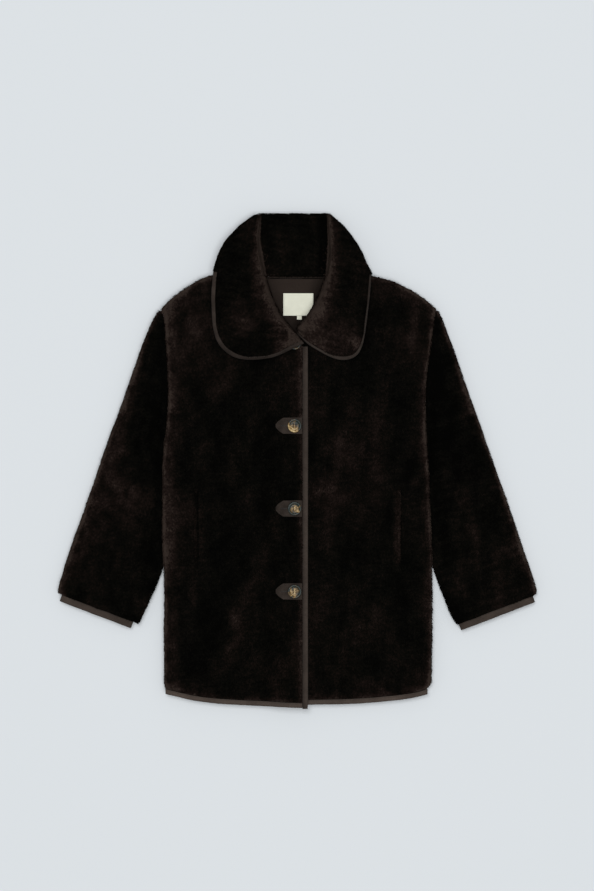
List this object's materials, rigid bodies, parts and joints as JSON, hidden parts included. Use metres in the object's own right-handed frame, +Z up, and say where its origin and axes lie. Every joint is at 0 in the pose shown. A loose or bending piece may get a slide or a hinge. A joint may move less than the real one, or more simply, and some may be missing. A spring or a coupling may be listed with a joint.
{
  "type": "faux fur coat",
  "caption": "Buttoned faux fur coat laid flat on its back, with a turned-down rounded collar, long sleeves, bound edges and buttonhole patches.",
  "frame": {"origin": "centre of the laid coat's outline, on the surface that it lies on", "axes": "+X towards the wearer's left sleeve, +Y from the hem to the collar, +Z up from the surface"},
  "size_m": [0.913, 0.9405, 0.0515],
  "materials": {
    "fur": "dense soft dark brown faux fur pile with a faint sheen",
    "tape": "matt dark brown suede-like binding",
    "suede": "matt dark brown suede-like cloth",
    "satin": "cream woven label cloth, bare",
    "horn": "mottled brown horn-like polyester"
  },
  "bodies": {
    "root": {"back": "fur", "back_neck_facing": "suede", "binding_collar_left": "tape", "binding_collar_right": "tape", "binding_cuff_left": "tape", "binding_cuff_right": "tape", "binding_front": "tape", "binding_hem_back": "tape", "binding_hem_left": "tape", "binding_hem_right": "tape", "button_0": "horn", "button_1": "horn", "button_2": "horn", "button_3": "horn", "collar": "fur", "front_left": "fur", "front_right": "fur", "label": "satin", "patch_1": "suede", "patch_2": "suede", "patch_3": "suede", "pocket_lip_left": "fur", "pocket_lip_right": "fur", "size_tab": "satin", "sleeve_left": "fur", "sleeve_right": "fur"}
  },
  "joints": []
}
